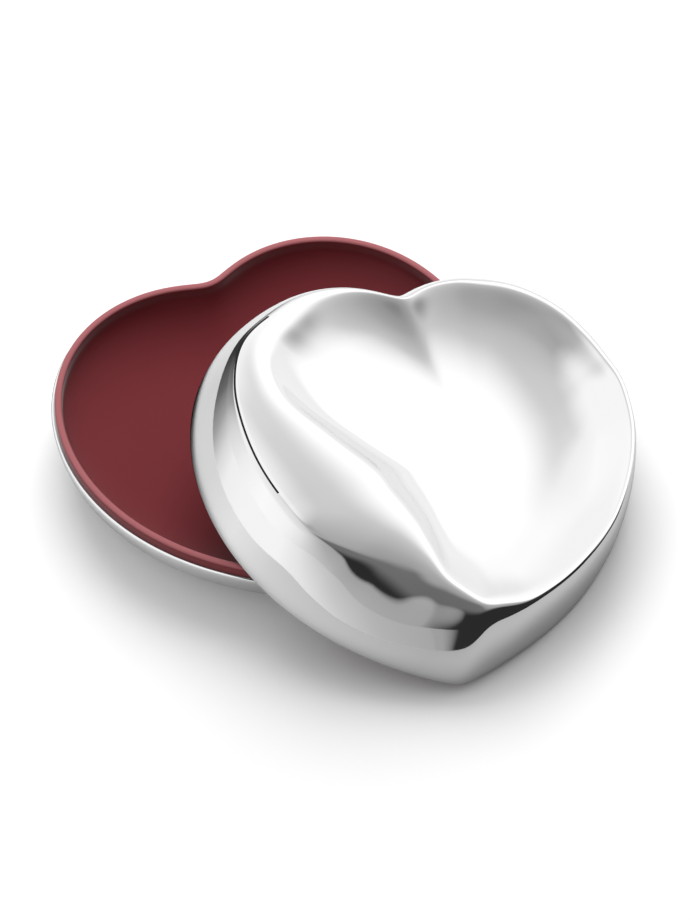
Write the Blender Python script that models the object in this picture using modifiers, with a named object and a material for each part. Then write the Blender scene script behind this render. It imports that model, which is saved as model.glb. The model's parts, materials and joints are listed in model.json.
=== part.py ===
"""Heart-shaped box of polished sheet metal with a red tray and a dished lid.

The box is open: the bowl stands on its felt pad and the lid, taken off, leans on the rim.
Lengths are in metres, angles in degrees, +Z is up. The origin is on the table, under the
middle of the bowl, and the heart's point looks along -Y.
"""
import math

import bpy
import numpy as np
from mathutils import Matrix, Vector

# Heart outline, shared by the bowl and the lid: waves round it as shares of its two sizes
HEART_WIDTH = 0.110
HEART_LENGTH = 0.1023
width_sine_shares = (0.4085, 0.0, -0.0915, 0.0, 0.0)
width_cosine_shares = (0.0, -0.0015, 0.0036, 0.0, 0.0)
length_sine_shares = (0.0, -0.0018, 0.0026, 0.0, 0.0)
length_cosine_shares = (0.5551, -0.0581, -0.0761, -0.0044, 0.0034)

# Sheet metal and the clearance between neighbouring pieces
SHEET = 0.0006
CLEARANCE = 0.0003

# Bowl and the felt under it
RIM_HEIGHT = 0.0166
BOWL_SWEEP = 0.0155
FELT_THICKNESS = 0.0010
FELT_MARGIN = 0.0015

# Tray in the bowl
TRAY_THICKNESS = 0.0018
TRAY_SWEEP = 0.0360
LIP_RISE = 0.0029
LIP_ROUNDING = 0.0007

# Lid: the top's plane, the wall's curve, the dish, and the ridge beside it. The shares of
# the two tables lie evenly round the dish's middle, from the +X side towards +Y: the
# edge's share of the way to the rim, and the ridge's share of the way to the edge.
LID_HEIGHT = 0.0207
TOP_FALL_RIGHT = 0.015
TOP_FALL_BACK = -0.026
WALL_LIFT_SHARE = 0.25
WALL_LIFT_GAIN_SHARE = 0.386
WALL_LIFT_WIDTH = 0.0082
WALL_CORNER_SHARE = 0.36
WALL_CORNER_GAIN_SHARE = 0.18
WALL_CORNER_WIDTH = 0.017
WALL_CORNER_POWER = 4
DISH_X = 0.0140
DISH_Y = -0.0020
DISH_DEPTH = 0.0062
DISH_POWER = 2.5
DISH_SMOOTHING = 30.0
DISH_SMOOTHING_POWER = 1.5
RIDGE_RISE = 0.0026
RIDGE_ROUNDING = 0.0009
RIDGE_WALL_SHARE = 0.24
RIDGE_WALL_POWER = 2.2
edge_shares = (0.930, 0.933, 0.932, 0.908, 0.899, 0.898, 0.894, 0.890, 0.885,
               0.896, 0.902, 0.894, 0.908, 0.913, 0.913, 0.931, 0.915, 0.887,
               0.865, 0.846, 0.833, 0.779, 0.717, 0.689, 0.711, 0.749, 0.802,
               0.860, 0.876, 0.883, 0.887, 0.894, 0.901, 0.904, 0.910, 0.920)
ridge_shares = (0.970, 0.970, 0.970, 0.970, 0.970, 0.970, 0.970, 0.970, 0.975,
                0.985, 0.990, 0.985, 0.975, 0.955, 0.930, 0.895, 0.815, 0.685,
                0.600, 0.563, 0.574, 0.628, 0.720, 0.835, 0.930, 0.955, 0.965,
                0.965, 0.970, 0.970, 0.970, 0.970, 0.970, 0.970, 0.970, 0.970)

# Lining of the lid
LINING_THICKNESS = 0.0012
LINING_SETBACK = 0.0036
LINING_CORNER = 0.0030

# Bonding pads
PAD_THICKNESS = 0.0008
TRAY_PADS = 3
TRAY_PAD_RADIUS = 0.0060
TRAY_PAD_CIRCLE = 0.0120
LID_PAD_RADIUS = 0.0070

# How the lid lies: its place beside the bowl, its turn, and the heading that it tips about
LID_X = 0.0213
LID_Y = -0.0305
LID_TURN = -11.2
LEAN_HEADING = 30.9
LEAN_LIMITS = (2.0, 45.0)
LEAN_HALVINGS = 30

# Mesh steps, and the rows of the lid as shares of the stretch that each lies on
COLUMNS = 72
BOWL_ROWS = 8
TRAY_ROWS = 9
CORNER_ROWS = 4
PAD_SIDES = 32
LIP_SEGMENTS = 2
LIP_CORNER_ANGLE = 60.0
SMOOTH_ANGLE = 40.0
EDGE_STEPS = 1440
WALL_STEPS = 80
wall_row_shares = (0.0, 0.16, 0.32, 0.48, 0.62, 0.75, 0.87)
shoulder_row_shares = (0.0, 0.35, 0.68, 0.9, 1.0)
dish_row_shares = (0.965, 0.91, 0.83, 0.7, 0.52, 0.32, 0.14)
lining_wall_shares = (0.0, 0.35, 0.7, 1.0)

# Colours as linear red, green, blue and alpha
STEEL_COLOUR = (0.78, 0.78, 0.79, 1.0)
RED_COLOUR = (0.150, 0.026, 0.030, 1.0)
FELT_COLOUR = (0.020, 0.020, 0.022, 1.0)
FOAM_COLOUR = (0.60, 0.58, 0.54, 1.0)

# Heights and insets that follow from the sizes above
FLOOR_HEIGHT = FELT_THICKNESS + CLEARANCE
TRAY_INSET = SHEET + CLEARANCE
TRAY_FLOOR = FLOOR_HEIGHT + SHEET + PAD_THICKNESS + 2 * CLEARANCE
LIP_HEIGHT = RIM_HEIGHT + LIP_RISE
CEILING_DROP = DISH_DEPTH + SHEET + PAD_THICKNESS + 2 * CLEARANCE
TOP_SLOPE = Vector((TOP_FALL_RIGHT, TOP_FALL_BACK))


def clear_scene():
    for item in list(bpy.data.objects):
        bpy.data.objects.remove(item, do_unlink=True)


def make_material(name, colour, roughness, metallic):
    material = bpy.data.materials.new(name)
    material.use_nodes = True
    shader = material.node_tree.nodes["Principled BSDF"]
    shader.inputs["Base Color"].default_value = colour
    shader.inputs["Roughness"].default_value = roughness
    shader.inputs["Metallic"].default_value = metallic
    material.diffuse_color = colour
    return material


def column_turns():
    """Angles round the heart from its notch, drawn closer together along its sides."""
    even = np.arange(COLUMNS) * 2 * math.pi / COLUMNS
    return even + np.sin(2 * even) / 4


def waves(turns, sines, cosines):
    """Sum of sine and cosine waves round the heart, and its slope."""
    total = np.zeros(len(turns))
    slope = np.zeros(len(turns))
    for order, (sine, cosine) in enumerate(zip(sines, cosines), start=1):
        total += sine * np.sin(order * turns) + cosine * np.cos(order * turns)
        slope += order * (sine * np.cos(order * turns) - cosine * np.sin(order * turns))
    return total, slope


def heart(turns, inset=0.0):
    """Plan points of the heart, each moved inwards, square to the outline, by inset."""
    across, across_slope = waves(turns, width_sine_shares, width_cosine_shares)
    along, along_slope = waves(turns, length_sine_shares, length_cosine_shares)
    normal = np.stack([-HEART_LENGTH * along_slope, HEART_WIDTH * across_slope])
    normal /= np.hypot(normal[0], normal[1])
    return np.stack([HEART_WIDTH * across, HEART_LENGTH * along], axis=1) - (inset * normal).T


def ring(plan, height):
    """Plan points lifted to a height, which is one number or one for each point."""
    return np.column_stack([plan, np.zeros(len(plan)) + height])


def sweep_share(sweep, share):
    """Size left of the heart at a share of a quarter-round sweep towards its middle."""
    return 1 - 2 * sweep * (1 - math.cos(share * math.pi / 2)) / HEART_WIDTH


def bowl_rows(turns):
    """Outside of the bowl, from the rim down to the edge of its flat floor."""
    rows = []
    for share in np.linspace(0, 1, BOWL_ROWS):
        height = RIM_HEIGHT - (RIM_HEIGHT - FLOOR_HEIGHT) * math.sin(share * math.pi / 2)
        rows.append(ring(heart(turns) * sweep_share(BOWL_SWEEP, share), height))
    return rows


def tray_rows(turns):
    """Outside of the tray, from the top of its lip down to the edge of its flat floor."""
    plan = heart(turns, TRAY_INSET)
    rows = [ring(plan, LIP_HEIGHT)]
    for share in np.linspace(0, 1, TRAY_ROWS):
        height = RIM_HEIGHT - (RIM_HEIGHT - TRAY_FLOOR) * math.sin(share * math.pi / 2)
        rows.append(ring(plan * sweep_share(TRAY_SWEEP, share), height))
    return rows


def round_table(shares, headings):
    """Shares at headings in degrees, on a smooth closed curve through a table."""
    table = np.array(shares)
    place = headings / 360 * len(table)
    index = np.floor(place).astype(int)
    part = place - index
    before, first, second, after = (table[(index + step) % len(table)] for step in (-1, 0, 1, 2))
    bend = 2 * before - 5 * first + 4 * second - after
    twist = 3 * (first - second) + after - before
    return first + part * (second - before + part * (bend + part * twist)) / 2


def top_level(plan):
    """Height of the plane that the lid's top edge lies in, over plan points."""
    return LID_HEIGHT - plan @ np.array(TOP_SLOPE)


def dish_fall(bulge, reach):
    """Height of the dish, whose outline is the edge's at the rim and rounder further in."""
    share = reach ** DISH_SMOOTHING_POWER
    return DISH_DEPTH * (reach ** DISH_POWER * (share + (1 - share) * bulge ** DISH_POWER) - 1)


def top_rise(crest, bulge, reach):
    """Height over the top's plane, at a share of the way from the dish's middle to the edge."""
    rise = RIDGE_RISE * (1 - crest) / (1 - min(ridge_shares))
    shoulder = rise * (1 - (np.maximum(0, reach - crest) / (1 - crest)) ** 2)
    wall = rise - dish_fall(bulge, crest)
    below = np.maximum(0, 1 - (crest - reach) / RIDGE_WALL_SHARE)
    dish = dish_fall(bulge, reach) + wall * below ** RIDGE_WALL_POWER
    return (shoulder + dish - np.hypot(shoulder - dish, RIDGE_ROUNDING)) / 2


def lid_edge(turns):
    """Plan of the lid's top edge, the ridge's share of the way to it from the dish's middle,
    and how much further off than its neighbours each point of the edge lies."""
    middle = np.array([DISH_X, DISH_Y])
    rim = heart(turns) - middle
    headings = np.degrees(np.arctan2(rim[:, 1], rim[:, 0]))
    edge = rim * round_table(edge_shares, headings)[:, None]
    reach = np.linalg.norm(edge, axis=1)
    apart = (headings[:, None] - headings + 180) % 360 - 180
    near = np.exp(-(apart / DISH_SMOOTHING) ** 2)
    bulge = reach * near.sum(axis=1) / (near @ reach)
    return middle + edge, round_table(ridge_shares, headings), bulge


def lid_wall(turns, part):
    """Points on the lid's wall at a part of its curve, which leaves the rim upright.

    The curve meets the shoulder at the shoulder's own slope, and the wider the wall is in
    plan, the sooner it bends inwards.
    """
    rim = heart(turns)
    edge, crest, bulge = lid_edge(turns)
    width = np.linalg.norm(edge - rim, axis=1)
    reach = np.linalg.norm(edge - np.array([DISH_X, DISH_Y]), axis=1)
    slope = 2 * RIDGE_RISE / (1 - min(ridge_shares)) / reach
    top = top_level(edge) + top_rise(crest, bulge, 1)
    gain = WALL_LIFT_GAIN_SHARE * np.exp(-(width / WALL_LIFT_WIDTH) ** 2)
    lift = top * (WALL_LIFT_SHARE + gain)
    gain = WALL_CORNER_GAIN_SHARE * (width / WALL_CORNER_WIDTH) ** WALL_CORNER_POWER
    blend = WALL_CORNER_SHARE + gain
    corner = top - width * blend * slope
    low = 3 * (1 - part) ** 2 * part
    high = 3 * (1 - part) * part ** 2
    inwards = high * (1 - blend) + part ** 3
    plan = rim + (edge - rim) * inwards[:, None]
    return ring(plan, low * lift + high * corner + part ** 3 * top)


def lid_rows(turns):
    """Outside of the lid: up its wall, over the shoulder and the ridge, and into the dish."""
    rows = [lid_wall(turns, share) for share in wall_row_shares]
    edge, crest, bulge = lid_edge(turns)
    reaches = [1 - share * (1 - crest) for share in shoulder_row_shares]
    reaches += [crest * share for share in dish_row_shares]
    middle = np.array([DISH_X, DISH_Y])
    for reach in reaches:
        plan = middle + (edge - middle) * reach[:, None]
        rows.append(ring(plan, top_level(plan) + top_rise(crest, bulge, reach)))
    return rows


def beside_wall(turns, height):
    """Points of the lid's wall at a height, set in square to it, with the ways up and in."""
    parts = np.linspace(0, 1, WALL_STEPS)
    walls = np.array([lid_wall(turns, part)[:, 2] for part in parts])
    part = np.array([np.interp(level, wall, parts) for level, wall in zip(height, walls.T)])
    points = lid_wall(turns, part)
    around = np.roll(points, -1, axis=0) - np.roll(points, 1, axis=0)
    up = lid_wall(turns, part + parts[1]) - points
    inward = np.cross(around, up)
    inward /= np.linalg.norm(inward, axis=1)[:, None]
    return points + TRAY_INSET * inward, up, inward


def lining_rows(turns):
    """Upper side of the lid's lining: up its wall and round the corner to its ceiling."""
    edge, _, _ = lid_edge(turns)
    corner = top_level(edge) - CEILING_DROP - LINING_CORNER
    rows = []
    for share in lining_wall_shares:
        height = LINING_SETBACK + (corner - LINING_SETBACK) * share
        start, up, inward = beside_wall(turns, height)
        rows.append(start)
    rise = top_level(start[:, :2]) - CEILING_DROP - start[:, 2]
    turning = start[:, :2] + up[:, :2] * (rise / up[:, 2])[:, None]
    level = inward[:, :2] / np.linalg.norm(inward[:, :2], axis=1)[:, None]
    end = turning + LINING_CORNER * level
    for part in np.linspace(0, 1, CORNER_ROWS)[1:]:
        plan = (1 - part) ** 2 * start[:, :2] + 2 * (1 - part) * part * turning + part ** 2 * end
        rows.append(ring(plan, top_level(plan) - CEILING_DROP - (1 - part) ** 2 * rise))
    return rows


def loft(name, rows):
    """Open surface through rows of points, closed flat within the last row.

    Its faces look outwards where the rows run down, and inwards where they run up.
    """
    count = len(rows[0])
    faces = []
    for row in range(len(rows) - 1):
        for column in range(count):
            start = row * count
            after = (column + 1) % count
            faces.append((start + column, start + after, start + count + after, start + count + column))
    faces.append(tuple(range((len(rows) - 1) * count, len(rows) * count)))
    mesh = bpy.data.meshes.new(name)
    mesh.from_pydata([tuple(point) for point in np.concatenate(rows)], [], faces)
    mesh.validate()
    return mesh


def finish(item, collection, material, parent=None):
    """Put an object in its collection, give it its material, and shade its round faces smooth."""
    for holder in item.users_collection:
        holder.objects.unlink(item)
    collection.objects.link(item)
    item.data.materials.append(material)
    item.parent = parent
    if item.type == "MESH":
        item.data.shade_smooth()
        item.data.set_sharp_from_angle(angle=math.radians(SMOOTH_ANGLE))
    return item


def shell(name, rows, thickness, offset):
    """A lofted surface thickened behind its faces, at offset -1, or before them, at offset 1."""
    item = bpy.data.objects.new(name, loft(name, rows))
    solidify = item.modifiers.new("thickness", "SOLIDIFY")
    solidify.thickness = thickness
    solidify.offset = offset
    solidify.use_quality_normals = True
    return item


def disc(name, radius, thickness):
    bpy.ops.mesh.primitive_cylinder_add(vertices=PAD_SIDES, radius=radius, depth=thickness)
    item = bpy.context.object
    item.name = name
    return item


def add_bowl(collection, turns, steel):
    bowl = shell("base_shell", bowl_rows(turns), SHEET, -1)
    finish(bowl, collection, steel)


def add_felt(collection, turns, felt):
    """Flat heart under the bowl's floor, drawn in from the floor's edge."""
    margin = heart(turns) - heart(turns, FELT_MARGIN)
    plan = heart(turns) * sweep_share(BOWL_SWEEP, 1) - margin
    curve = bpy.data.curves.new("base_pad", "CURVE")
    curve.dimensions = "2D"
    curve.fill_mode = "BOTH"
    curve.extrude = FELT_THICKNESS / 2
    spline = curve.splines.new("POLY")
    spline.points.add(len(plan) - 1)
    spline.points.foreach_set("co", np.column_stack([ring(plan, 0.0), np.ones(len(plan))]).ravel())
    spline.use_cyclic_u = True
    item = bpy.data.objects.new("base_pad", curve)
    item.location = (0, 0, FELT_THICKNESS / 2)
    finish(item, collection, felt)


def add_tray(collection, turns, red):
    tray = shell("base_liner", tray_rows(turns), TRAY_THICKNESS, -1)
    rounding = tray.modifiers.new("lip", "BEVEL")
    rounding.width = LIP_ROUNDING
    rounding.segments = LIP_SEGMENTS
    rounding.limit_method = "ANGLE"
    rounding.angle_limit = math.radians(LIP_CORNER_ANGLE)
    finish(tray, collection, red)


def add_tray_pads(collection, foam):
    height = FLOOR_HEIGHT + SHEET + CLEARANCE + PAD_THICKNESS / 2
    for index in range(TRAY_PADS):
        angle = math.radians(90) + 2 * math.pi * index / TRAY_PADS
        pad = disc(f"liner_pad_{index + 1}", TRAY_PAD_RADIUS, PAD_THICKNESS)
        pad.location = (TRAY_PAD_CIRCLE * math.cos(angle), TRAY_PAD_CIRCLE * math.sin(angle), height)
        finish(pad, collection, foam)


def lean_turn(lean):
    """Turn of the lid about its own axis, followed by its lean towards the table."""
    heading = math.radians(LEAN_HEADING)
    axis = Vector((math.cos(heading), math.sin(heading), 0))
    return Matrix.Rotation(math.radians(lean), 3, axis) @ Matrix.Rotation(math.radians(LID_TURN), 3, "Z")


def lid_edge_points(lean):
    """Both lower corners of the lid's wall when it leans, with its origin at table height."""
    turns = np.linspace(0, 2 * math.pi, EDGE_STEPS)
    corners = np.concatenate([ring(heart(turns, inset), 0.0) for inset in (0.0, SHEET)])
    return corners @ np.array(lean_turn(lean)).T + np.array([LID_X, LID_Y, 0])


def heart_reach(inset, angles):
    """Distance from the middle to the inset outline of the heart, at the given angles."""
    plan = heart(np.linspace(0, 2 * math.pi, EDGE_STEPS), inset)
    plan_angles = np.arctan2(plan[:, 1], plan[:, 0])
    order = np.argsort(plan_angles)
    reach = np.hypot(plan[:, 0], plan[:, 1])
    return np.interp(angles, plan_angles[order], reach[order], period=2 * math.pi)


def height_on_lip(points):
    """How high the lid's origin is when the lid's edge rests on the lip of the tray."""
    angles = np.arctan2(points[:, 1], points[:, 0])
    distance = np.hypot(points[:, 0], points[:, 1])
    outside = distance > heart_reach(TRAY_INSET, angles)
    inside = distance < heart_reach(TRAY_INSET + TRAY_THICKNESS, angles)
    return LIP_HEIGHT + CLEARANCE - points[~outside & ~inside, 2].min()


def lid_rest():
    """Lean and height at which the lid touches both the lip of the tray and the table."""
    low, high = LEAN_LIMITS
    for _ in range(LEAN_HALVINGS):
        lean = (low + high) / 2
        points = lid_edge_points(lean)
        height = height_on_lip(points)
        if height + points[:, 2].min() > CLEARANCE:
            low = lean
        else:
            high = lean
    return lean, height


def add_lid_frame(collection):
    """Empty that carries the lid's pieces where the lid lies."""
    lean, height = lid_rest()
    frame = bpy.data.objects.new("lid_frame", None)
    frame.empty_display_size = HEART_WIDTH / 2
    frame.location = (LID_X, LID_Y, height)
    frame.rotation_euler = lean_turn(lean).to_euler()
    collection.objects.link(frame)
    return frame


def add_lid(collection, turns, frame, steel, red, foam):
    finish(shell("lid_shell", lid_rows(turns), SHEET, 1), collection, steel, frame)
    finish(shell("lid_liner", lining_rows(turns), LINING_THICKNESS, 1), collection, red, frame)
    pad = disc("lid_pad", LID_PAD_RADIUS, PAD_THICKNESS)
    middle = Vector((DISH_X, DISH_Y))
    ceiling = LID_HEIGHT - middle.dot(TOP_SLOPE) - CEILING_DROP
    pad.location = (*middle, ceiling + CLEARANCE + PAD_THICKNESS / 2)
    pad.rotation_euler = Vector((*TOP_SLOPE, 1)).to_track_quat("Z", "Y").to_euler()
    finish(pad, collection, foam, frame)


def main():
    clear_scene()
    collection = bpy.data.collections.new("heart_box")
    bpy.context.scene.collection.children.link(collection)
    steel = make_material("polished_steel", STEEL_COLOUR, 0.05, 1.0)
    red = make_material("red_moulding", RED_COLOUR, 0.42, 0.0)
    felt = make_material("dark_felt", FELT_COLOUR, 0.95, 0.0)
    foam = make_material("bonding_foam", FOAM_COLOUR, 0.85, 0.0)
    turns = column_turns()
    add_felt(collection, turns, felt)
    add_bowl(collection, turns, steel)
    add_tray_pads(collection, foam)
    add_tray(collection, turns, red)
    add_lid(collection, turns, add_lid_frame(collection), steel, red, foam)


main()
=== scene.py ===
"""Heart-shaped box, open, with its lid leaning on the rim: looks, studio and camera."""
import json
import math

import bpy
import numpy as np
from mathutils import Matrix, Vector

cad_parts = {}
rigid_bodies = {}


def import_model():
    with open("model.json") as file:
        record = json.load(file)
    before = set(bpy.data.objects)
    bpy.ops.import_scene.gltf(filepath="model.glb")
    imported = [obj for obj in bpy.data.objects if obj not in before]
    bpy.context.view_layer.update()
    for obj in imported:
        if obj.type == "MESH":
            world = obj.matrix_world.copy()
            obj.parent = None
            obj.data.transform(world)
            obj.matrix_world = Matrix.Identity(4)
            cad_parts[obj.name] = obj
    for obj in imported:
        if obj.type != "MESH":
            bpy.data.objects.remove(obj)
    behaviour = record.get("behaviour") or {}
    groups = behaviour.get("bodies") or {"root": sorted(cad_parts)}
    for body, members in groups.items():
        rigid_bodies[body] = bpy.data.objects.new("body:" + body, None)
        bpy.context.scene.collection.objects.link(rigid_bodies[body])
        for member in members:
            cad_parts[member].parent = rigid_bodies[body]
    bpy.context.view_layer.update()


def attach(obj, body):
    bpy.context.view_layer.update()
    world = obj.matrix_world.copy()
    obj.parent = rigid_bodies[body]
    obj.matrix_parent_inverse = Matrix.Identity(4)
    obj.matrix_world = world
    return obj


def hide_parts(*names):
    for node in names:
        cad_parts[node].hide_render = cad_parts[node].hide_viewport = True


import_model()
scene = bpy.context.scene

# Heart outline: waves round it as shares of its width and length
HEART_WIDTH = 0.110
HEART_LENGTH = 0.1023
width_sine_shares = (0.4085, 0.0, -0.0915, 0.0, 0.0)
width_cosine_shares = (0.0, -0.0015, 0.0036, 0.0, 0.0)
length_sine_shares = (0.0, -0.0018, 0.0026, 0.0, 0.0)
length_cosine_shares = (0.5551, -0.0581, -0.0761, -0.0044, 0.0034)

# Metal, clearances, bowl and tray
SHEET = 0.0006
CLEARANCE = 0.0003
RIM_HEIGHT = 0.0166
BOWL_SWEEP = 0.0155
FELT_THICKNESS = 0.0010
TRAY_THICKNESS = 0.0018
TRAY_SWEEP = 0.0360
LIP_RISE = 0.0029
LIP_ROUNDING = 0.0007
LIP_SEGMENTS = 5
SHEET_ROUNDING = 0.00018

# Lid
LID_HEIGHT = 0.0207
TOP_FALL_RIGHT = 0.015
TOP_FALL_BACK = -0.026
WALL_LIFT_SHARE = 0.25
WALL_LIFT_GAIN_SHARE = 0.386
WALL_LIFT_WIDTH = 0.0082
WALL_CORNER_SHARE = 0.36
WALL_CORNER_GAIN_SHARE = 0.18
WALL_CORNER_WIDTH = 0.017
WALL_CORNER_POWER = 4
DISH_X = 0.0140
DISH_Y = -0.0020
DISH_DEPTH = 0.0062
DISH_POWER = 2.5
DISH_SMOOTHING = 30.0
DISH_SMOOTHING_POWER = 1.5
RIDGE_RISE = 0.0026
RIDGE_ROUNDING = 0.0009
RIDGE_WALL_SHARE = 0.24
RIDGE_WALL_POWER = 2.2
edge_shares = (0.930, 0.933, 0.932, 0.908, 0.899, 0.898, 0.894, 0.890, 0.885,
               0.896, 0.902, 0.894, 0.908, 0.913, 0.913, 0.931, 0.915, 0.887,
               0.865, 0.846, 0.833, 0.779, 0.717, 0.689, 0.711, 0.749, 0.802,
               0.860, 0.876, 0.883, 0.887, 0.894, 0.901, 0.904, 0.910, 0.920)
ridge_shares = (0.970, 0.970, 0.970, 0.970, 0.970, 0.970, 0.970, 0.970, 0.975,
                0.985, 0.990, 0.985, 0.975, 0.955, 0.930, 0.895, 0.815, 0.685,
                0.600, 0.563, 0.574, 0.628, 0.720, 0.835, 0.930, 0.955, 0.965,
                0.965, 0.970, 0.970, 0.970, 0.970, 0.970, 0.970, 0.970, 0.970)

# Painted shade line under the lid's top edge, a near-black strip standing for the dark the sharp edge
# mirrors: its width, the share of the wall it is measured on and its spans in degrees
SHADE_LINE_WIDTH = 0.0005
SHADE_LINE_PROBE = 0.02
SHADE_LINE_SPANS = ((258, 300),)

# Lining
LINING_THICKNESS = 0.0012
LINING_SETBACK = 0.0036
LINING_CORNER = 0.0030
LINING_ROUNDING = 0.0004
PAD_THICKNESS = 0.0008

# Where the lid lies
LID_X = 0.0213
LID_Y = -0.0305
LID_TURN = -11.2
LEAN_HEADING = 30.9
LEAN_LIMITS = (2.0, 45.0)
LEAN_HALVINGS = 30

# Rows and columns of the meshes
COLUMNS = 360
OUTLINE_STEPS = 1440
BOWL_ROWS = 28
TRAY_ROWS = 32
WALL_ROWS = 56
SHOULDER_ROWS = 25
DISH_ROWS = 60
DISH_ROW_POWER = 1.4
WALL_STEPS = 80
LINING_WALL_ROWS = 14
LINING_CORNER_ROWS = 10
LINING_CEILING_SHARES = (0.8, 0.6, 0.4, 0.2)
STAGE_COLUMNS = 96
SHARP_ANGLE = 45
ROUNDED_ANGLE = 60

# Finishes
STEEL_COLOUR = (0.90, 0.90, 0.905, 1)
# Near-black colour of the painted shade line under the lid's top edge
SHADE_LINE_COLOUR = (0.012, 0.012, 0.013, 1)
DEEP_RED = (0.145, 0.017, 0.022, 1)
LIGHT_RED = (0.170, 0.021, 0.026, 1)
# Painted highlight: a paler red on the tray's lip, standing for the sheen the lip catches, over a band
# just below the lip's height
LIP_HIGHLIGHT_RED = (0.36, 0.115, 0.125, 1)
LIP_HIGHLIGHT_START = 0.0006
LIP_HIGHLIGHT_END = 0.0001
DARK_FELT = (0.012, 0.012, 0.013, 1)
PALE_FELT = (0.045, 0.045, 0.048, 1)
DARK_FOAM = (0.45, 0.43, 0.40, 1)
PALE_FOAM = (0.68, 0.66, 0.61, 1)
FLOOR_COLOUR = (0.96, 0.96, 0.96, 1)
NOISE_LOW = 0.3
NOISE_HIGH = 0.7

# Camera
CAMERA_SENSOR = 36
CAMERA_LENS = 223.66
CAMERA_NEAR = 0.05
CAMERA_FAR = 20
CAMERA_PLACE = (-0.35146, -0.73718, 1.16850)
CAMERA_TURNS = (34.8391, -0.5247, -25.8560)

# Studio: degrees to the right of straight ahead of the camera, and brightness there
STUDIO_HEADING = 64.5
STAGE_MIDDLE = (0.02, -0.03)
FLOOR_RADIUS = 3.0
FLOOR_CENTRE = 0.3
FLOOR_DROP = 0.0002
CARD_RADIUS = 0.18
CARD_CENTRE = 0.01
CARD_DROP = 0.0001
CARD_HEIGHT = 0.05
PEAK_LEVEL = 1.25
ZENITH_LEVEL = 1.02
WALL_SLANT = 0.04
BAND_STEPS = ((30, 44), (56, 68), (75, 84))
LAMP_HEADING = 64
LAMP_RISE = 48
LAMP_REACH = 24
LAMP_LEVEL = 1.22
wall_levels = ((-180, 0.025), (-175, 0.025), (-174, 0.38), (-165, 0.45), (-155, 0.62),
               (-142, 0.83), (-127, 0.98), (-115, 1.06), (-98, 0.95), (-85, 0.75),
               (-75, 0.38), (-60, 0.18), (-45, 0.04), (-30, 0.04), (-18, 0.40),
               (-8, 0.80), (0, 0.88), (15, 0.83), (30, 0.90), (45, 0.98), (75, 0.95),
               (90, 0.88), (96, 0.50), (101, 0.025), (180, 0.025))
card_levels = ((-180, 0.42), (-168, 0.50), (-158, 0.62), (-145, 0.85), (-130, 1.00), (-110, 1.00),
               (-97, 0.95), (-89, 0.75), (-80, 0.38), (-68, 0.15), (-50, 0.04), (-35, 0.04),
               (-22, 0.40), (-10, 0.80), (0, 0.88), (30, 0.90), (60, 0.95), (78, 0.88),
               (84, 0.50), (89, 0.025), (176, 0.025), (178, 0.38))
middle_levels = ((-180, 0.42), (-160, 0.70), (-130, 0.90), (-100, 1.00), (0, 1.00), (20, 1.08),
                 (45, 1.08), (62, 1.00), (78, 0.88), (92, 0.72), (106, 0.54), (120, 0.41),
                 (135, 0.33), (148, 0.17), (176, 0.15), (178, 0.40), (180, 0.42))
ceiling_levels = ((-180, 0.55), (-160, 0.75), (-130, 0.92), (-100, 1.00), (0, 1.06), (30, 0.96),
                  (44, 0.78), (56, 0.72), (75, 0.68), (92, 0.64), (108, 0.54), (125, 0.44),
                  (145, 0.40), (165, 0.45), (180, 0.55))
# Floor card greys by heading are painted shade, darker at the front and right, standing for the shade on
# the floor round the object as the metal mirrors it; the card takes real shadows too
floor_levels = ((-180, 0.42), (-150, 0.54), (-129, 0.62), (-110, 0.75), (-90, 0.62), (-60, 0.55),
                (0, 0.80), (60, 0.60), (90, 0.50), (135, 0.48), (180, 0.42))
FILL_LIGHT = 4.4
FILL_HEADING = -8
FILL_RISE = 52
FILL_DISTANCE = 0.8
FILL_SIZE = 0.6

# Sizes that follow
FLOOR_HEIGHT = FELT_THICKNESS + CLEARANCE
TRAY_INSET = SHEET + CLEARANCE
TRAY_FLOOR = FLOOR_HEIGHT + SHEET + PAD_THICKNESS + 2 * CLEARANCE
LIP_HEIGHT = RIM_HEIGHT + LIP_RISE
CEILING_DROP = DISH_DEPTH + SHEET + PAD_THICKNESS + 2 * CLEARANCE
TOP_SLOPE = np.array([TOP_FALL_RIGHT, TOP_FALL_BACK])


# Shapes

def waves(turns, sines, cosines):
    total = np.zeros(len(turns))
    slope = np.zeros(len(turns))
    for order, (sine, cosine) in enumerate(zip(sines, cosines), start=1):
        total += sine * np.sin(order * turns) + cosine * np.cos(order * turns)
        slope += order * (sine * np.cos(order * turns) - cosine * np.sin(order * turns))
    return total, slope


def heart(turns, inset=0.0):
    across, across_slope = waves(turns, width_sine_shares, width_cosine_shares)
    along, along_slope = waves(turns, length_sine_shares, length_cosine_shares)
    normal = np.stack([-HEART_LENGTH * along_slope, HEART_WIDTH * across_slope])
    normal /= np.hypot(normal[0], normal[1])
    return np.stack([HEART_WIDTH * across, HEART_LENGTH * along], axis=1) - (inset * normal).T


def column_turns():
    even = np.arange(COLUMNS) * 2 * math.pi / COLUMNS
    return even + np.sin(2 * even) / 4


def ring(plan, height):
    return np.column_stack([plan, np.zeros(len(plan)) + height])


def sweep_share(sweep, share):
    return 1 - 2 * sweep * (1 - math.cos(share * math.pi / 2)) / HEART_WIDTH


def round_table(shares, headings):
    """Shares at headings in degrees, on a closed curve through a table that goes all round."""
    table = np.array(shares)
    place = headings / 360 * len(table)
    index = np.floor(place).astype(int)
    part = place - index
    before, first, second, after = (table[(index + step) % len(table)] for step in (-1, 0, 1, 2))
    bend = 2 * before - 5 * first + 4 * second - after
    twist = 3 * (first - second) + after - before
    return first + part * (second - before + part * (bend + part * twist)) / 2


def dish_fall(bulge, reach):
    """Height of the dish, whose outline is the edge's at the rim and rounder further in."""
    share = reach ** DISH_SMOOTHING_POWER
    return DISH_DEPTH * (reach ** DISH_POWER * (share + (1 - share) * bulge ** DISH_POWER) - 1)


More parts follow.
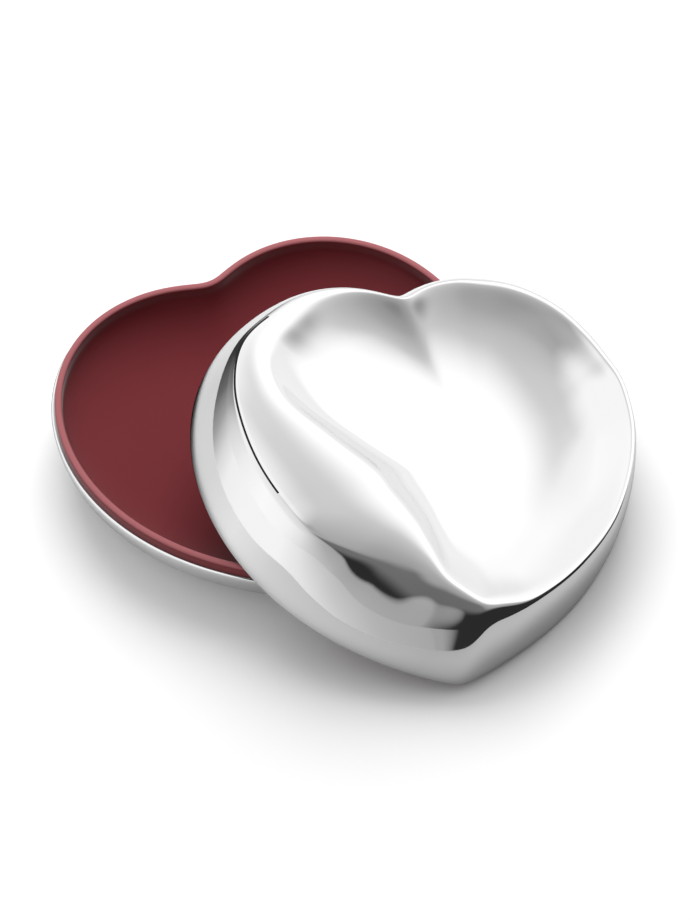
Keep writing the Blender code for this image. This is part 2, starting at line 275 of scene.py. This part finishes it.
def top_rise(crest, bulge, reach):
    """Height over the top's plane, at a share of the way from the dish's middle to the edge."""
    rise = RIDGE_RISE * (1 - crest) / (1 - min(ridge_shares))
    shoulder = rise * (1 - (np.maximum(0, reach - crest) / (1 - crest)) ** 2)
    wall = rise - dish_fall(bulge, crest)
    below = np.maximum(0, 1 - (crest - reach) / RIDGE_WALL_SHARE)
    dish = dish_fall(bulge, reach) + wall * below ** RIDGE_WALL_POWER
    return (shoulder + dish - np.hypot(shoulder - dish, RIDGE_ROUNDING)) / 2


def top_level(plan):
    """Height of the plane that the lid's top edge lies in, over plan points."""
    return LID_HEIGHT - plan @ TOP_SLOPE


def lid_edge(turns):
    """Plan of the lid's top edge, the ridge's share of the way to it from the dish's middle,
    and how much further off than its neighbours each point of the edge lies."""
    middle = np.array([DISH_X, DISH_Y])
    rim = heart(turns) - middle
    headings = np.degrees(np.arctan2(rim[:, 1], rim[:, 0]))
    edge = rim * round_table(edge_shares, headings)[:, None]
    reach = np.linalg.norm(edge, axis=1)
    apart = (headings[:, None] - headings + 180) % 360 - 180
    near = np.exp(-(apart / DISH_SMOOTHING) ** 2)
    bulge = reach * near.sum(axis=1) / (near @ reach)
    return middle + edge, round_table(ridge_shares, headings), bulge


def lid_wall(turns, part):
    """Points of the lid's wall, at a part of its curve from the rim to the top edge."""
    rim = heart(turns)
    edge, crest, bulge = lid_edge(turns)
    width = np.linalg.norm(edge - rim, axis=1)
    reach = np.hypot(edge[:, 0] - DISH_X, edge[:, 1] - DISH_Y)
    slope = 2 * RIDGE_RISE / (1 - min(ridge_shares)) / reach
    top = top_level(edge) + top_rise(crest, bulge, 1)
    gain = WALL_LIFT_GAIN_SHARE * np.exp(-(width / WALL_LIFT_WIDTH) ** 2)
    lift = top * (WALL_LIFT_SHARE + gain)
    blend = WALL_CORNER_SHARE + WALL_CORNER_GAIN_SHARE * (width / WALL_CORNER_WIDTH) ** WALL_CORNER_POWER
    corner = top - width * blend * slope
    height = 3 * (1 - part) ** 2 * part * lift + 3 * (1 - part) * part ** 2 * corner + part ** 3 * top
    inwards = np.zeros(len(turns)) + 3 * (1 - part) * part ** 2 * (1 - blend) + part ** 3
    return ring(rim + (edge - rim) * inwards[:, None], height)


def lid_rows(turns):
    """Upper side of the lid, whose last strip of wall, under the top edge, carries the painted shade line.
    """
    edge, crest, bulge = lid_edge(turns)
    pace = np.linalg.norm(lid_wall(turns, 1) - lid_wall(turns, 1 - SHADE_LINE_PROBE), axis=1) / SHADE_LINE_PROBE
    shade_line_part = 1 - SHADE_LINE_WIDTH / pace
    rows = [lid_wall(turns, part * shade_line_part) for part in np.linspace(0, 1, WALL_ROWS)]
    reaches = [1 - share * (1 - crest) for share in np.linspace(0, 1, SHOULDER_ROWS)]
    reaches += [crest * (1 - share ** DISH_ROW_POWER) for share in np.linspace(0, 1, DISH_ROWS)[1:-1]]
    middle = np.array([DISH_X, DISH_Y])
    for reach in reaches:
        plan = middle + (edge - middle) * reach[:, None]
        rows.append(ring(plan, top_level(plan) + top_rise(crest, bulge, reach)))
    return rows


def beside_wall(turns, height):
    """Points of the lid's wall at a height, set in square to it, with the ways up and in."""
    parts = np.linspace(0, 1, WALL_STEPS)
    heights = np.array([lid_wall(turns, part)[:, 2] for part in parts])
    part = np.array([np.interp(level, column, parts) for level, column in zip(height, heights.T)])
    points = lid_wall(turns, part)
    around = np.roll(points, -1, axis=0) - np.roll(points, 1, axis=0)
    up = lid_wall(turns, part + parts[1]) - points
    inward = np.cross(around, up)
    inward /= np.linalg.norm(inward, axis=1)[:, None]
    return points + TRAY_INSET * inward, up, inward


def lining_rows(turns):
    """Upper side of the lid's lining: up its wall and round the corner to its ceiling."""
    rows = []
    corner = top_level(lid_edge(turns)[0]) - CEILING_DROP - LINING_CORNER
    for share in np.linspace(0, 1, LINING_WALL_ROWS):
        start, up, inward = beside_wall(turns, LINING_SETBACK + (corner - LINING_SETBACK) * share)
        rows.append(start)
    rise = top_level(start[:, :2]) - CEILING_DROP - start[:, 2]
    slope = up[:, :2] / up[:, 2:]
    turning = start[:, :2] + slope * rise[:, None]
    level = inward[:, :2] / np.linalg.norm(inward[:, :2], axis=1)[:, None]
    end = turning + LINING_CORNER * level
    for part in np.linspace(0, 1, LINING_CORNER_ROWS)[1:]:
        plan = (1 - part) ** 2 * start[:, :2] + 2 * (1 - part) * part * turning + part ** 2 * end
        drop = CEILING_DROP + (1 - part) ** 2 * rise
        rows.append(ring(plan, top_level(plan) - drop))
    for share in LINING_CEILING_SHARES:
        rows.append(ring(end * share, top_level(end * share) - CEILING_DROP))
    return rows


def bowl_rows(turns):
    rows = []
    for share in np.linspace(0, 1, BOWL_ROWS):
        height = RIM_HEIGHT - (RIM_HEIGHT - FLOOR_HEIGHT) * math.sin(share * math.pi / 2)
        rows.append(ring(heart(turns) * sweep_share(BOWL_SWEEP, share), height))
    return rows


def tray_rows(turns):
    plan = heart(turns, TRAY_INSET)
    rows = [ring(plan, LIP_HEIGHT), ring(plan, LIP_HEIGHT - LIP_RISE / 2)]
    for share in np.linspace(0, 1, TRAY_ROWS):
        height = RIM_HEIGHT - (RIM_HEIGHT - TRAY_FLOOR) * math.sin(share * math.pi / 2)
        rows.append(ring(plan * sweep_share(TRAY_SWEEP, share), height))
    return rows


def loft(name, rows, centre=False, closed=True):
    """Surface through rows of points, closed within the last one by a face or round a centre."""
    count = len(rows[0])
    faces = []
    for row in range(len(rows) - 1):
        for column in range(count):
            start = row * count
            after = (column + 1) % count
            faces.append((start + column, start + after, start + count + after, start + count + column))
    points = [tuple(point) for point in np.concatenate(rows)]
    last = (len(rows) - 1) * count
    if centre:
        points.append(tuple(np.mean(rows[-1], axis=0)))
        faces += [(last + column, last + (column + 1) % count, len(points) - 1) for column in range(count)]
    elif closed:
        faces.append(tuple(range(last, last + count)))
    mesh = bpy.data.meshes.new(name)
    mesh.from_pydata(points, [], faces)
    mesh.validate()
    return mesh


def piece(name, mesh, thickness=0.0, offset=-1, bevel=0.0, segments=3):
    """An object with its modifiers applied and its round faces smooth."""
    item = bpy.data.objects.new(name, mesh)
    scene.collection.objects.link(item)
    if thickness:
        solidify = item.modifiers.new("thickness", "SOLIDIFY")
        solidify.thickness = thickness
        solidify.offset = offset
        solidify.use_quality_normals = True
    if bevel:
        rounding = item.modifiers.new("rounding", "BEVEL")
        rounding.width = bevel
        rounding.segments = segments
        rounding.limit_method = "ANGLE"
        rounding.angle_limit = math.radians(ROUNDED_ANGLE)
    graph = bpy.context.evaluated_depsgraph_get()
    made = bpy.data.meshes.new_from_object(item.evaluated_get(graph), depsgraph=graph)
    item.modifiers.clear()
    item.data = made
    made.shade_smooth()
    made.set_sharp_from_angle(angle=math.radians(SHARP_ANGLE))
    return item


def lean_turn(lean):
    heading = math.radians(LEAN_HEADING)
    axis = Vector((math.cos(heading), math.sin(heading), 0))
    return Matrix.Rotation(math.radians(lean), 3, axis) @ Matrix.Rotation(math.radians(LID_TURN), 3, "Z")


def heart_reach(inset, angles):
    plan = heart(np.linspace(0, 2 * math.pi, OUTLINE_STEPS), inset)
    plan_angles = np.arctan2(plan[:, 1], plan[:, 0])
    order = np.argsort(plan_angles)
    reach = np.hypot(plan[:, 0], plan[:, 1])
    return np.interp(angles, plan_angles[order], reach[order], period=2 * math.pi)


def lid_place():
    """Where the lid lies, with its edge on the tray's lip and its low side on the table."""
    turns = np.linspace(0, 2 * math.pi, OUTLINE_STEPS)
    corners = np.concatenate([ring(heart(turns, inset), 0.0) for inset in (0.0, SHEET)])
    low, high = LEAN_LIMITS
    for _ in range(LEAN_HALVINGS):
        lean = (low + high) / 2
        points = corners @ np.array(lean_turn(lean)).T + np.array([LID_X, LID_Y, 0])
        angles = np.arctan2(points[:, 1], points[:, 0])
        distance = np.hypot(points[:, 0], points[:, 1])
        outside = distance > heart_reach(TRAY_INSET, angles)
        inside = distance < heart_reach(TRAY_INSET + TRAY_THICKNESS, angles)
        height = LIP_HEIGHT + CLEARANCE - points[~outside & ~inside, 2].min()
        if height + points[:, 2].min() > CLEARANCE:
            low = lean
        else:
            high = lean
    return Matrix.Translation((LID_X, LID_Y, height)) @ lean_turn(lean).to_4x4()


# Materials

def new_material(name):
    material = bpy.data.materials.new(name)
    material.use_nodes = True
    nodes = material.node_tree.nodes
    return material, nodes, material.node_tree.links, nodes["Principled BSDF"]


def fill_socket(links, socket, value):
    """Give a socket a value of its own, or a link from another node's socket."""
    if isinstance(value, bpy.types.NodeSocket):
        links.new(value, socket)
    else:
        socket.default_value = value


def add_math(nodes, links, operation, *values):
    node = nodes.new("ShaderNodeMath")
    node.operation = operation
    for socket, value in zip(node.inputs, values):
        fill_socket(links, socket, value)
    return node.outputs[0]


def add_dot(nodes, links, vector, constant):
    node = nodes.new("ShaderNodeVectorMath")
    node.operation = "DOT_PRODUCT"
    links.new(vector, node.inputs[0])
    node.inputs[1].default_value = constant
    return node.outputs["Value"]


def add_step(nodes, links, value, low, high):
    """A smooth step from 0 at low to 1 at high."""
    node = nodes.new("ShaderNodeMapRange")
    node.interpolation_type = "SMOOTHSTEP"
    node.inputs["From Min"].default_value = low
    node.inputs["From Max"].default_value = high
    links.new(value, node.inputs["Value"])
    return node.outputs["Result"]


def add_mix(nodes, links, factor, first, second):
    """A value between two."""
    node = nodes.new("ShaderNodeMix")
    for socket, value in zip((node.inputs[0], node.inputs[2], node.inputs[3]), (factor, first, second)):
        fill_socket(links, socket, value)
    return node.outputs[0]


def add_colour_mix(nodes, links, factor, first, second):
    """A colour between two."""
    node = nodes.new("ShaderNodeMix")
    node.data_type = "RGBA"
    for socket, value in zip((node.inputs[0], node.inputs[6], node.inputs[7]), (factor, first, second)):
        fill_socket(links, socket, value)
    return node.outputs[2]


def add_place(nodes):
    return nodes.new("ShaderNodeTexCoord").outputs["Object"]


def add_noise(nodes, links, source, scale, detail=3.0, roughness=0.5):
    noise = nodes.new("ShaderNodeTexNoise")
    noise.inputs["Scale"].default_value = scale
    noise.inputs["Detail"].default_value = detail
    noise.inputs["Roughness"].default_value = roughness
    links.new(source, noise.inputs["Vector"])
    return noise.outputs["Fac"]


def add_gloss(nodes, links, shader, noise, low, high):
    """Roughness between two values, by a noise."""
    spread = nodes.new("ShaderNodeMapRange")
    spread.inputs["From Min"].default_value = NOISE_LOW
    spread.inputs["From Max"].default_value = NOISE_HIGH
    spread.inputs["To Min"].default_value = low
    spread.inputs["To Max"].default_value = high
    links.new(noise, spread.inputs["Value"])
    links.new(spread.outputs["Result"], shader.inputs["Roughness"])


def add_bump(nodes, links, shader, height, strength, distance):
    bump = nodes.new("ShaderNodeBump")
    bump.inputs["Strength"].default_value = strength
    bump.inputs["Distance"].default_value = distance
    links.new(height, bump.inputs["Height"])
    links.new(bump.outputs["Normal"], shader.inputs["Normal"])


def steel_material():
    """Mirror-polished sheet with faint wiping marks in its gloss."""
    material, nodes, links, shader = new_material("polished_steel_look")
    shader.inputs["Base Color"].default_value = STEEL_COLOUR
    shader.inputs["Metallic"].default_value = 1.0
    marks = add_noise(nodes, links, add_place(nodes), scale=60, detail=5.0, roughness=0.6)
    add_gloss(nodes, links, shader, marks, low=0.030, high=0.060)
    return material


def painted_shade_line_material():
    """Painted shade: a near-black line standing for the dark the lid's sharp top edge mirrors, with a
    little unevenness in its gloss.
    """
    material, nodes, links, shader = new_material("seam_line_look")
    shader.inputs["Base Color"].default_value = SHADE_LINE_COLOUR
    shader.inputs["Specular IOR Level"].default_value = 0.2
    marks = add_noise(nodes, links, add_place(nodes), scale=900)
    add_gloss(nodes, links, shader, marks, low=0.45, high=0.60)
    return material


def red_material(name, lip=0.0):
    """Dark red moulding with a fine satin grain and a painted highlight: paler at the height of a lip."""
    material, nodes, links, shader = new_material(name)
    shader.inputs["Specular IOR Level"].default_value = 0.14
    shader.inputs["Sheen Weight"].default_value = 0.30
    shader.inputs["Sheen Roughness"].default_value = 0.35
    place = add_place(nodes)
    tone = add_noise(nodes, links, place, scale=40)
    colour = add_colour_mix(nodes, links, tone, DEEP_RED, LIGHT_RED)
    # Painted highlight: the lip's top is mixed towards a paler red
    if lip:
        height = add_dot(nodes, links, place, (0, 0, 1))
        lip_highlight = add_step(nodes, links, height, lip - LIP_HIGHLIGHT_START, lip - LIP_HIGHLIGHT_END)
        colour = add_colour_mix(nodes, links, lip_highlight, colour, LIP_HIGHLIGHT_RED)
    links.new(colour, shader.inputs["Base Color"])
    grain = add_noise(nodes, links, place, scale=3500, detail=2.0)
    add_gloss(nodes, links, shader, grain, low=0.42, high=0.52)
    add_bump(nodes, links, shader, grain, strength=0.12, distance=0.00005)
    return material


def felt_material():
    """Pressed dark felt with matted fibres."""
    material, nodes, links, shader = new_material("dark_felt_look")
    shader.inputs["Roughness"].default_value = 0.95
    shader.inputs["Sheen Weight"].default_value = 0.4
    fibres = add_noise(nodes, links, add_place(nodes), scale=1400, detail=6.0, roughness=0.7)
    links.new(add_colour_mix(nodes, links, fibres, DARK_FELT, PALE_FELT), shader.inputs["Base Color"])
    add_bump(nodes, links, shader, fibres, strength=0.8, distance=0.0002)
    return material


def foam_material():
    """Foam tape with fine open cells."""
    material, nodes, links, shader = new_material("bonding_foam_look")
    shader.inputs["Roughness"].default_value = 0.9
    cells = nodes.new("ShaderNodeTexVoronoi")
    cells.inputs["Scale"].default_value = 2500
    links.new(add_place(nodes), cells.inputs["Vector"])
    depth = cells.outputs["Distance"]
    links.new(add_colour_mix(nodes, links, depth, DARK_FOAM, PALE_FOAM), shader.inputs["Base Color"])
    add_bump(nodes, links, shader, depth, strength=0.5, distance=0.0001)
    return material


# Studio

def set_ramp(ramp, table):
    """Set a ramp to a table's brightness, over headings from -180 to 180 degrees."""
    stops = [(heading / 360 + 0.5, (level / PEAK_LEVEL,) * 3 + (1,)) for heading, level in table]
    elements = ramp.color_ramp.elements
    for element, (position, colour) in zip(elements, (stops[0], stops[-1])):
        element.position = position
        element.color = colour
    for position, colour in stops[1:-1]:
        elements.new(position).color = colour


def studio_axes():
    """The studio's ways ahead and to the right."""
    heading = math.radians(STUDIO_HEADING)
    return (math.cos(heading), math.sin(heading), 0), (math.sin(heading), -math.cos(heading), 0)


def studio_way(heading, rise):
    """Unit vector at degrees to the right of straight ahead and at a rise over level."""
    ahead, right = studio_axes()
    turn, rise = math.radians(heading), math.radians(rise)
    level = Vector(ahead) * math.cos(turn) + Vector(right) * math.sin(turn)
    return level * math.cos(rise) + Vector((0, 0, math.sin(rise)))


def add_turn_ramp(nodes, links, vector, table, slant=0.0):
    """The table's brightness at a vector's heading, its steps slanted by shares of a turn."""
    ahead, right = studio_axes()
    turn = add_math(nodes, links, "ARCTAN2", add_dot(nodes, links, vector, right),
                    add_dot(nodes, links, vector, ahead))
    share = add_math(nodes, links, "MULTIPLY_ADD", turn, 1 / (2 * math.pi), 0.5)
    if slant:
        lean = add_dot(nodes, links, vector, (0, 0, slant))
        share = add_math(nodes, links, "FRACT", add_math(nodes, links, "ADD", share, lean))
    ramp = nodes.new("ShaderNodeValToRGB")
    set_ramp(ramp, table)
    links.new(share, ramp.inputs[0])
    return add_math(nodes, links, "MULTIPLY", ramp.outputs["Color"], PEAK_LEVEL)


def make_world():
    """Soft studio all round: bright above, a dark side at the right and a soft lamp."""
    world = bpy.data.worlds.new("studio")
    world.use_nodes = True
    scene.world = world
    nodes, links = world.node_tree.nodes, world.node_tree.links
    vector = nodes.new("ShaderNodeTexCoord").outputs["Generated"]
    height = add_dot(nodes, links, vector, (0, 0, 1))
    level, *above = [add_turn_ramp(nodes, links, vector, table, slant) for table, slant in
                     ((wall_levels, WALL_SLANT), (middle_levels, 0.0), (ceiling_levels, 0.0))]
    for rises, higher in zip(BAND_STEPS, above + [ZENITH_LEVEL]):
        step = add_step(nodes, links, height, *(math.sin(math.radians(rise)) for rise in rises))
        level = add_mix(nodes, links, step, level, higher)
    to_lamp = add_dot(nodes, links, vector, studio_way(LAMP_HEADING, LAMP_RISE))
    near_lamp = add_step(nodes, links, to_lamp, math.cos(math.radians(LAMP_REACH)), 1)
    background = nodes["Background"]
    background.inputs["Color"].default_value = (1, 1, 1, 1)
    links.new(add_mix(nodes, links, near_lamp, level, LAMP_LEVEL), background.inputs["Strength"])


def stage_disc(name, rings, closed=True):
    """A round stage piece about the object, through rings of radius and height."""
    turns = np.arange(STAGE_COLUMNS) * 2 * math.pi / STAGE_COLUMNS
    circle = np.column_stack([np.cos(turns), np.sin(turns)])
    rows = [ring(np.array(STAGE_MIDDLE) + radius * circle, height) for radius, height in rings]
    item = bpy.data.objects.new(name, loft(name, rows, closed=closed))
    scene.collection.objects.link(item)
    return item


def make_floor():
    floor = stage_disc("studio_floor", ((FLOOR_RADIUS, -FLOOR_DROP), (FLOOR_CENTRE, -FLOOR_DROP)))
    material, _, _, shader = new_material("pale_floor")
    shader.inputs["Base Color"].default_value = FLOOR_COLOUR
    shader.inputs["Roughness"].default_value = 0.8
    shader.inputs["Specular IOR Level"].default_value = 0.1
    floor.data.materials.append(material)


def add_stage_ramp(nodes, links, table):
    """The table's brightness at the heading of a point from the stage's middle."""
    from_middle = nodes.new("ShaderNodeVectorMath")
    from_middle.operation = "SUBTRACT"
    from_middle.inputs[1].default_value = (*STAGE_MIDDLE, 0)
    links.new(add_place(nodes), from_middle.inputs[0])
    return add_turn_ramp(nodes, links, from_middle.outputs[0], table)


def make_cards():
    """Cards round the object that only the metal sees: greys on the floor, which are painted shade, and
    low walls.
    """
    floor_card = stage_disc("floor_card", ((CARD_RADIUS, -CARD_DROP), (CARD_CENTRE, -CARD_DROP)))
    material, nodes, links, shader = new_material("floor_card")
    # Painted shade: the card's grey follows the heading from the stage's middle
    links.new(add_stage_ramp(nodes, links, floor_levels), shader.inputs["Base Color"])
    shader.inputs["Roughness"].default_value = 0.9
    shader.inputs["Specular IOR Level"].default_value = 0.0
    floor_card.data.materials.append(material)
    wall_cards = stage_disc("wall_cards", ((CARD_RADIUS, 0.0), (CARD_RADIUS, CARD_HEIGHT)), closed=False)
    material, nodes, links, shader = new_material("wall_cards")
    nodes.remove(shader)
    glow = nodes.new("ShaderNodeEmission")
    links.new(add_stage_ramp(nodes, links, card_levels), glow.inputs["Strength"])
    links.new(glow.outputs[0], nodes["Material Output"].inputs["Surface"])
    wall_cards.data.materials.append(material)
    for card in (floor_card, wall_cards):
        card.visible_camera = False
        card.visible_diffuse = False
        card.visible_shadow = False
        card.visible_transmission = False


def make_fill():
    """A soft light from the far side for the matte pieces, which no mirror shows."""
    light = bpy.data.lights.new("fill", "AREA")
    light.size = FILL_SIZE
    light.energy = FILL_LIGHT
    fill = bpy.data.objects.new("fill", light)
    way = studio_way(FILL_HEADING, FILL_RISE)
    fill.location = Vector((*STAGE_MIDDLE, 0)) + way * FILL_DISTANCE
    fill.rotation_euler = way.to_track_quat("Z", "Y").to_euler()
    fill.visible_glossy = False
    scene.collection.objects.link(fill)


def make_camera():
    camera = bpy.data.objects.new("camera", bpy.data.cameras.new("camera"))
    camera.data.sensor_width = CAMERA_SENSOR
    camera.data.lens = CAMERA_LENS
    camera.data.clip_start = CAMERA_NEAR
    camera.data.clip_end = CAMERA_FAR
    camera.location = CAMERA_PLACE
    camera.rotation_euler = [math.radians(angle) for angle in CAMERA_TURNS]
    scene.collection.objects.link(camera)
    scene.camera = camera


# Pieces

def dress(item, node, body, material):
    item.data.materials.append(material)
    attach(item, body)
    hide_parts(node)


def make_base(turns, steel):
    """Metal bowl and red tray, which the lid's metal does not mirror."""
    bowl = piece("bowl", loft("bowl", bowl_rows(turns)), SHEET, offset=-1, bevel=SHEET_ROUNDING)
    dress(bowl, "base_shell", "base", steel)
    tray = piece("tray", loft("tray", tray_rows(turns)), TRAY_THICKNESS, offset=-1,
                 bevel=LIP_ROUNDING, segments=LIP_SEGMENTS)
    # The tray's red carries the painted highlight on its lip
    dress(tray, "base_liner", "base", red_material("tray_red_look", LIP_HEIGHT))
    bowl.visible_glossy = False
    tray.visible_glossy = False


def make_lid(turns, steel):
    """Metal lid with its painted shade line under the top edge, and red lining, where they lean on the
    tray's lip.
    """
    place = lid_place()
    top = loft("lid", lid_rows(turns), centre=True)
    for column, turn in enumerate(np.degrees(turns)):
        if any(low < turn < high for low, high in SHADE_LINE_SPANS):
            # Faces of the last wall strip in these spans get the painted shade line's material
            top.polygons[(WALL_ROWS - 1) * COLUMNS + column].material_index = 1
    lid = piece("lid", top, SHEET, offset=1, bevel=SHEET_ROUNDING)
    lid.data.transform(place)
    dress(lid, "lid_shell", "lid", steel)
    # Second material: the painted shade line
    lid.data.materials.append(painted_shade_line_material())
    lining = piece("lining", loft("lining", lining_rows(turns)), LINING_THICKNESS, offset=1,
                   bevel=LINING_ROUNDING)
    lining.data.transform(place)
    dress(lining, "lid_liner", "lid", red_material("lining_red_look"))


def dress_pads(felt, foam):
    """Felt on the foot and foam on the bonding pads, which keep their own shapes."""
    for item in list(scene.objects):
        for start, material in (("base_pad", felt), ("liner_pad", foam), ("lid_pad", foam)):
            if item.name.startswith(start):
                item.data.materials.clear()
                item.data.materials.append(material)


def main():
    make_camera()
    steel = steel_material()
    felt, foam = felt_material(), foam_material()
    turns = column_turns()
    make_base(turns, steel)
    make_lid(turns, steel)
    dress_pads(felt, foam)
    make_floor()
    make_cards()
    make_world()
    make_fill()


main()
scene.view_settings.view_transform = "Standard"
